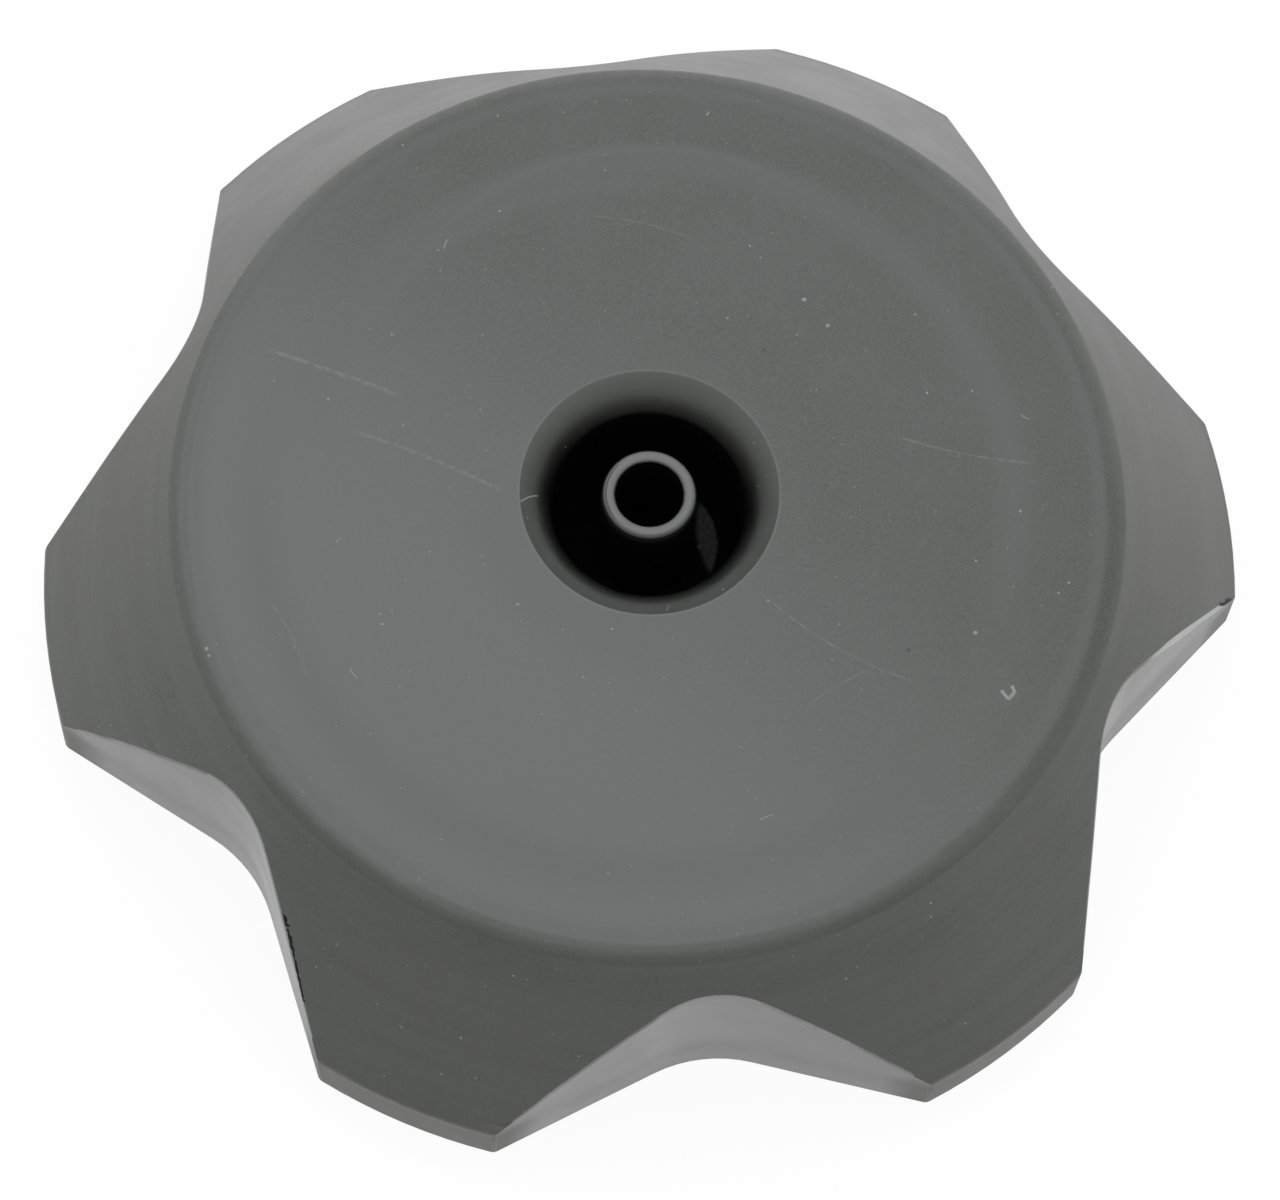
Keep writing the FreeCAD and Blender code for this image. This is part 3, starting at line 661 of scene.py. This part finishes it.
# Ragged marks: centre, the run of a line from there, and reach
SPOT = (0, 0, 0)  # no run: a spot
PALE_NICKS = [
    ((21.65, -12.78, 21.2), SPOT, 0.17),
    ((-32.4, -7.4, 20.3), SPOT, 0.20),
    ((-32.3, -7.95, 20.3), SPOT, 0.18),
    ((28.6, -21.7, 17.3), SPOT, 0.20),
    ((28.3, -22.2, 17.3), SPOT, 0.20),
    ((13.0, 13.6, 21.75), SPOT, 0.20),
    ((14.4, 11.4, 21.8), SPOT, 0.18),
    ((7.9, 3.6, 21.8), SPOT, 0.35),
]
DARK_PITS = [
    ((9.55, 9.93, 22.05), SPOT, 0.24),
    ((16.67, -13.63, 21.5), SPOT, 0.22),
]
DARK_NICKS = [
    ((43.15, -7.5, 5.7), (-0.5, -0.15, 0.7), 0.5),
    ((42.75, -7.75, 6.2), (-0.8, -0.25, 1.1), 0.26),
]
EDGE_SOOT = [
    ((-28.93, -25.45, 13.16), (0.10, -0.55, -0.46), 0.20),
    ((-28.76, -26.33, 12.42), (0.14, -1.19, -0.97), 0.18),
    ((-28.60, -27.52, 11.45), (0.40, -3.00, -2.76), 0.12),
]


def select_only(piece):
    """Leaves this piece alone selected, and makes it the active one."""
    bpy.ops.object.select_all(action="DESELECT")
    piece.select_set(True)
    bpy.context.view_layer.objects.active = piece


def select_by_place(piece, kind, wanted):
    """In edit mode, selects edges or faces whose corners are all wanted, by radius and height."""
    bpy.ops.mesh.select_mode(type=kind)
    bpy.ops.mesh.select_all(action="DESELECT")
    shape = bmesh.from_edit_mesh(piece.data)
    for part in shape.edges if kind == "EDGE" else shape.faces:
        if all(wanted(math.hypot(v.co.x, v.co.y) / MM, v.co.z / MM) for v in part.verts):
            part.select_set(True)
    bmesh.update_edit_mesh(piece.data)


def round_mouth(piece):
    """Remakes the well's mouth as one round, from a slight slope at its rim to the upright wall."""
    bend = (WELL_MOUTH_R - WELL_R) / (1 - math.sin(MOUTH_TILT))
    arc = []
    for ring in range(MOUTH_RINGS + 1):
        tilt = MOUTH_TILT + (math.pi / 2 - MOUTH_TILT) * ring / MOUTH_RINGS
        drop = bend * (math.cos(MOUTH_TILT) - math.cos(tilt))
        arc.append((WELL_R + bend * (1 - math.sin(tilt)), drop))
    old_foot = WELL_TOP_Z - PLAIN_MOUTH_DEPTH
    bpy.ops.object.mode_set(mode="EDIT")
    select_by_place(
        piece, "FACE", lambda r, z: WELL_R - NEAR < r < WELL_MOUTH_R + NEAR and z > old_foot,
    )
    bpy.ops.mesh.delete(type="FACE")
    select_by_place(piece, "EDGE", lambda r, z: abs(r - WELL_R) < NEAR and z > old_foot)
    foot = max(v.co.z for v in bmesh.from_edit_mesh(piece.data).verts if v.select)
    bpy.ops.transform.translate(value=(0, 0, (WELL_TOP_Z - arc[-1][1]) * MM - foot))
    select_by_place(piece, "EDGE", lambda r, z: abs(r - WELL_MOUTH_R) < NEAR and z > old_foot)
    for (r, drop), (next_r, next_drop) in zip(arc, arc[1:-1]):
        down = {"value": (0, 0, (drop - next_drop) * MM)}
        bpy.ops.mesh.extrude_edges_move(TRANSFORM_OT_translate=down)
        bpy.ops.transform.resize(value=(next_r / r, next_r / r, 1), center_override=(0, 0, 0))
    last_r, last_drop = arc[-2]
    low, high = WELL_TOP_Z - arc[-1][1] - NEAR, WELL_TOP_Z - last_drop + NEAR
    select_by_place(
        piece, "EDGE", lambda r, z: WELL_R - NEAR < r < last_r + NEAR and low < z < high,
    )
    bpy.ops.mesh.bridge_edge_loops()
    bpy.ops.object.mode_set(mode="OBJECT")


def edge_share(edge):
    """The share of the widest break that an edge gets, by its place and its two faces."""
    middle = (edge.verts[0].co + edge.verts[1].co) / 2 / MM
    r = math.hypot(middle.x, middle.y)
    low, high = sorted(face.normal.z for face in edge.link_faces)
    if r > 33.0 and middle.z < 0.3 and low < -0.99 and abs(high) < 0.02:
        return FOOT_SHARE
    if r > 33.5 and middle.z > 4.0 and abs(low) < 0.02 and high > 0.5:
        fade = min(1.0, max(0.0, (43.1 - r) / 1.5))  # out towards the lobes' ends
        along = middle.x - RUBBED_FROM_X
        near_y, far_y = RUBBED_Y
        if near_y < middle.y < far_y and 0.0 < along < RUBBED_LENGTH:
            wave = 0.5 + 0.5 * math.sin(along * RUBBED_WAVE)
            worn = wave * math.sin(math.pi * along / RUBBED_LENGTH)
            return fade * (LOBE_SHARE + RUBBED_SHARE * worn)
        return fade * LOBE_SHARE
    if abs(r - WELL_MOUTH_R) < 0.1 and middle.z > 20:
        return MOUTH_SHARE
    if abs(r - NIPPLE_BORE_R) < 0.1 and middle.z > 20:
        return BORE_SHARE
    return 0.0


def weigh_edges(piece):
    """Gives each sharp edge its share of the widest break."""
    piece.data.attributes.new("bevel_weight_edge", "FLOAT", "EDGE")
    shape = bmesh.new()
    shape.from_mesh(piece.data)
    share = shape.edges.layers.float["bevel_weight_edge"]
    for edge in shape.edges:
        if edge.calc_face_angle() > SHARP_FROM:
            edge[share] = edge_share(edge)
    shape.to_mesh(piece.data)
    shape.free()


def share_out_finishes(piece):
    """Gives the well, its mouth and the nipple's bore their finishes, and keeps the rims unrubbed."""
    low, high = WELL_BLACK_Z
    for face in piece.data.polygons:
        z = face.center.z / MM
        corners = [piece.data.vertices[v].co / MM for v in face.vertices]
        near, *_, far = sorted(math.hypot(c.x, c.y) for c in corners)
        in_well = far < WELL_R + 0.05 and low < z < high
        in_bore = far < NIPPLE_BORE_R + 0.07 and z < NIPPLE_TOP_Z - 0.4
        if in_well or in_bore:
            face.material_index = WELL
        elif near > WELL_R - 0.15 and far < WELL_MOUTH_R and z > WELL_TOP_Z - SHADED_MOUTH_DEPTH:
            face.material_index = LEAD_IN
        elif far < WELL_MOUTH_R + 0.3 and face.material_index == EDGES:
            face.material_index = OUTSIDE


def make_grip(finishes):
    """The lobed cap: the solid's own mesh, with its well's mouth rounded and its edges broken."""
    piece = bpy.data.objects.new("grip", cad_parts["cap_body"].data.copy())
    bpy.context.scene.collection.objects.link(piece)
    select_only(piece)
    bpy.ops.mesh.customdata_custom_splitnormals_clear()
    bpy.ops.object.mode_set(mode="EDIT")
    bpy.ops.mesh.select_all(action="SELECT")
    bpy.ops.mesh.remove_doubles(threshold=MERGE_WITHIN * MM)
    bpy.ops.mesh.dissolve_limited(angle_limit=FLAT_WITHIN)
    bpy.ops.object.mode_set(mode="OBJECT")
    round_mouth(piece)
    weigh_edges(piece)

    piece.data.materials.clear()
    for finish in finishes:
        piece.data.materials.append(finish)
    bevel = piece.modifiers.new("broken_edges", "BEVEL")
    bevel.limit_method = "WEIGHT"
    bevel.width = EDGE_BREAK * MM
    bevel.segments = 3
    bevel.use_clamp_overlap = False
    bevel.material = EDGES
    bpy.ops.object.modifier_apply(modifier="broken_edges")
    share_out_finishes(piece)

    bpy.ops.object.shade_smooth_by_angle(angle=SMOOTH_BELOW)
    weighted = piece.modifiers.new("weighted_normals", "WEIGHTED_NORMAL")
    weighted.keep_sharp = True
    weighted.weight = 60
    bpy.ops.object.modifier_apply(modifier="weighted_normals")
    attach(piece, "cap")
    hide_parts("cap_body")


def white_floor():
    """A white table that keeps a faint shadow of the cap."""
    bpy.ops.object.select_all(action="DESELECT")
    bpy.ops.mesh.primitive_plane_add(size=FLOOR_WIDTH)
    plane = bpy.context.object
    plane.name = "floor"
    g, shader, material = new_material("white_floor")
    shader["Base Color"].default_value = (0.95, 0.95, 0.95, 1)
    shader["Roughness"].default_value = 0.9
    shader["Specular IOR Level"].default_value = 0.0
    seen = g.node("ShaderNodeLightPath", {}).outputs
    mirrored = g.calc("MAXIMUM", seen["Is Glossy Ray"], seen["Is Transmission Ray"])
    plain = g.calc("MAXIMUM", seen["Is Camera Ray"], mirrored)
    white = g.node("ShaderNodeEmission", {"Color": (1, 1, 1, 1), "Strength": 1.0})
    nodes = material.node_tree.nodes
    mixed = g.node("ShaderNodeMixShader", {
        0: g.calc("MULTIPLY", plain, FLOOR_WHITENESS),
        1: nodes["Principled BSDF"].outputs[0],
        2: white.outputs[0],
    })
    g.feed(nodes["Material Output"].inputs["Surface"], mixed.outputs[0])
    plane.data.materials.append(material)


def dress(node, material):
    """Gives a CAD node its finish."""
    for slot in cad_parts[node].material_slots:
        slot.material = material


def gasket_rubber(groups):
    """Dull black rubber with a pale bloom, smoothed where the filler neck's lip presses on it."""
    g, shader, material = new_material("gasket_rubber")
    place = g.place_mm()
    _, r = g.flat_and_radius(place)
    grain = g.use(groups["grain"], Place=place, Size=0.15, Patch=3.5)
    uneven_r = g.calc("ADD", r, g.wander(place, 1.5, reach=0.5, detail=2.0))
    off = g.calc("ABSOLUTE", g.calc("SUBTRACT", uneven_r, (LIP_IN_R + LIP_OUT_R) / 2))
    half = (LIP_OUT_R - LIP_IN_R) / 2
    pressed = g.step(off, half - 0.15, half + 0.15, 1.0, 0.0)
    border = g.step(g.calc("ABSOLUTE", g.calc("SUBTRACT", off, half)), 0.0, 0.3, 0.5, 0.0)
    bloom = g.calc("SUBTRACT", grain["Patches"], g.calc("MULTIPLY", pressed, 0.7), clamp=True)
    bloom = g.calc("MULTIPLY", bloom, 0.5)
    specks = g.use(groups["specks"], Place=place, Cell=0.9, Spot=0.10, Share=0.3)["Mask"]
    colour = g.tint(add_masks(g, [bloom, border]), RUBBER, RUBBER_BLOOM)
    g.feed(shader["Base Color"], g.tint(g.calc("MULTIPLY", specks, 0.5), colour, DUST_AND_LIT_PATCH))
    dull = g.step(grain["Patches"], 0.0, 1.0, 0.66, 0.8)
    g.feed(shader["Roughness"], g.calc("SUBTRACT", dull, g.calc("MULTIPLY", pressed, 0.25)))
    roughen(g, shader, grain["Height"], 0.02)
    return material


def plate_plastic(groups):
    """The baffle plate: satin plastic with the swirl of its filling, and stains about its vents."""
    g, shader, material = new_material("baffle_plate_plastic")
    place = g.place_mm()
    x, y, _ = g.split(place)
    _, r = g.flat_and_radius(place)
    angle = g.calc("ARCTAN2", y, x)
    grain = g.use(groups["grain"], Place=place, Size=0.2, Patch=2.5)
    colour = g.tint(g.step(grain["Height"], 0.3, 0.7), PLASTIC_DEEP, PLASTIC)
    swirl = g.calc("MULTIPLY_ADD", r, 2.2, g.calc("MULTIPLY", angle, 3.0))
    waves = g.calc("SINE", g.calc("MULTIPLY_ADD", grain["Patches"], 2.5, swirl))
    colour = g.tint(g.step(waves, 0.2, 1.0, 0.0, 0.35), colour, PLASTIC_PALE)
    from_vents = g.calc("ABSOLUTE", g.calc("SUBTRACT", r, VENT_CIRCLE_R))
    wet = g.calc("MULTIPLY_ADD", grain["Patches"], 1.6, from_vents)
    colour = g.tint(g.step(wet, 0.6, 1.9, 0.45, 0.0), colour, VARNISH)
    specks = g.use(groups["specks"], Place=place, Cell=0.8, Spot=0.09, Share=0.25)["Mask"]
    g.feed(shader["Base Color"], g.tint(g.calc("MULTIPLY", specks, 0.5), colour, DUST_AND_LIT_PATCH))
    g.feed(shader["Roughness"], g.step(wet, 0.6, 1.9, 0.26, 0.4))
    shader["IOR"].default_value = PLASTIC_IOR
    roughen(g, shader, grain["Height"], 0.008)
    return material


def ball_steel(groups):
    """The check ball: ground steel with fine scratches and a few dull spots."""
    g, shader, material = new_material("ball_steel")
    place = g.place_mm()
    turned = {"Vector": place, "Axis": (1, 1, 0), "Angle": 0.7}
    tilted = g.node("ShaderNodeVectorRotate", turned).outputs[0]
    fine = g.use(groups["streaks"], Place=tilted, Pitch=0.06, Length=2.5)["Mask"]
    crossed = g.use(groups["streaks"], Place=place, Pitch=0.08, Length=2.0)["Mask"]
    grain = g.use(groups["grain"], Place=place, Size=0.1, Patch=0.9)
    dull = g.calc("MULTIPLY", g.step(grain["Patches"], 0.55, 0.85), 0.6)
    g.feed(shader["Base Color"], g.tint(dull, STEEL, STEEL_DULL))
    lines = g.calc("MULTIPLY", g.calc("ADD", fine, crossed), 0.05)
    g.feed(shader["Roughness"], g.calc("ADD", g.calc("MULTIPLY_ADD", dull, 0.15, 0.08), lines))
    shader["Metallic"].default_value = 1.0
    roughen(g, shader, g.calc("ADD", fine, crossed), 0.001)
    return material


def screw_zinc(groups):
    """The plate's screws: bright zinc gone warm in patches, with dirt down in their crosses."""
    g, shader, material = new_material("screw_zinc")
    place = g.place_mm()
    _, _, z = g.split(place)
    grain = g.use(groups["grain"], Place=place, Size=0.12, Patch=1.1)
    colour = g.tint(grain["Patches"], ZINC, ZINC_WARM)
    deep = g.step(z, PLATE_LOW_Z + 0.1, PLATE_LOW_Z + 0.8)
    dirt = g.calc("MULTIPLY", deep, g.step(grain["Height"], 0.2, 0.7, 0.5, 1.0))
    g.feed(shader["Base Color"], g.tint(g.calc("MULTIPLY", dirt, 0.7), colour, VARNISH))
    bright = g.step(grain["Patches"], 0.0, 1.0, 0.24, 0.38)
    g.feed(shader["Roughness"], g.calc("MULTIPLY_ADD", dirt, 0.3, bright))
    shader["Metallic"].default_value = 1.0
    roughen(g, shader, grain["Height"], 0.006)
    return material


aim_camera()
light_studio()
white_floor()
groups = {
    "grain": grain_group(),
    "specks": specks_group(),
    "hairline": hairline_group(),
    "nick": nick_group(),
    "ring": ring_group(),
    "streaks": streak_group(),
}
make_grip([
    satin_plastic(groups),
    edge_plastic(groups),
    well_plastic(groups),
    lead_in_plastic(groups),
])
dress("neck_gasket", gasket_rubber(groups))
dress("baffle_plate", plate_plastic(groups))
dress("check_ball", ball_steel(groups))
dress("plate_screws", screw_zinc(groups))
bpy.context.scene.view_settings.view_transform = "Standard"
